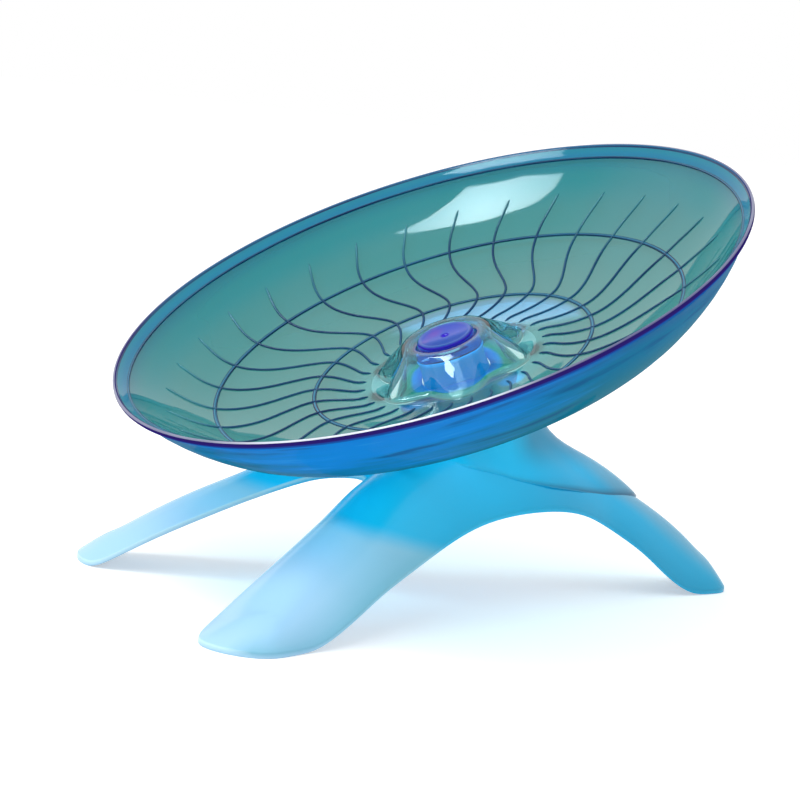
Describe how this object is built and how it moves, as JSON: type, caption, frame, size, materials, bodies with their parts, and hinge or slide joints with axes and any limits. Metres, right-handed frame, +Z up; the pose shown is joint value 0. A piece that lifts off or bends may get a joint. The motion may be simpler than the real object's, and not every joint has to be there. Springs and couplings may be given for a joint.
{
  "type": "flying saucer wheel",
  "caption": "Tilted clear teal running saucer with S-shaped ribs and a lobed hub, turning on a ball bearing over a cyan stand with two front legs and one rear leg.",
  "frame": {"origin": "middle of the object's footprint box, on the table under the feet", "axes": "+X from the low rim and the two front legs towards the high rim and the rear leg, +Z up, +Y completes the right-handed frame"},
  "size_m": [0.2026, 0.18, 0.1316],
  "materials": {
    "clear_teal": "clear tinted, polished",
    "violet_cap": "polished",
    "cyan_stand": "polished, slightly see-through",
    "bearing_steel": "ground",
    "ball_steel": "polished",
    "cage_nylon": "moulded",
    "zinc_steel": "zinc plated"
  },
  "bodies": {
    "base": {"stand": "cyan_stand", "bearing_outer_race": "bearing_steel", "bearing_shield_upper": "bearing_steel", "bearing_shield_lower": "bearing_steel"},
    "saucer": {"dish": "clear_teal", "hub_cap": "violet_cap", "pivot_screw": "zinc_steel", "spacer_collar": "zinc_steel", "bearing_inner_race": "bearing_steel", "pivot_washer": "zinc_steel", "lock_nut": "zinc_steel"},
    "ball_cage": {"bearing_cage": "cage_nylon", "bearing_ball_1": "ball_steel", "bearing_ball_2": "ball_steel", "bearing_ball_3": "ball_steel", "bearing_ball_4": "ball_steel", "bearing_ball_5": "ball_steel", "bearing_ball_6": "ball_steel", "bearing_ball_7": "ball_steel"}
  },
  "joints": [
    {"name": "dish_spin", "type": "hinge", "parent": "base", "child": "saucer", "pos_m": [-0.00853, 0, 0.06661], "axis": [-0.4756, 0, 0.8796], "continuous": true},
    {"name": "cage_spin", "type": "hinge", "parent": "base", "child": "ball_cage", "pos_m": [-0.00853, 0, 0.06661], "axis": [-0.4756, 0, 0.8796], "continuous": true}
  ],
  "couplings": [
    {"joint": "cage_spin", "follows": "dish_spin", "ratio": 0.3762}
  ]
}
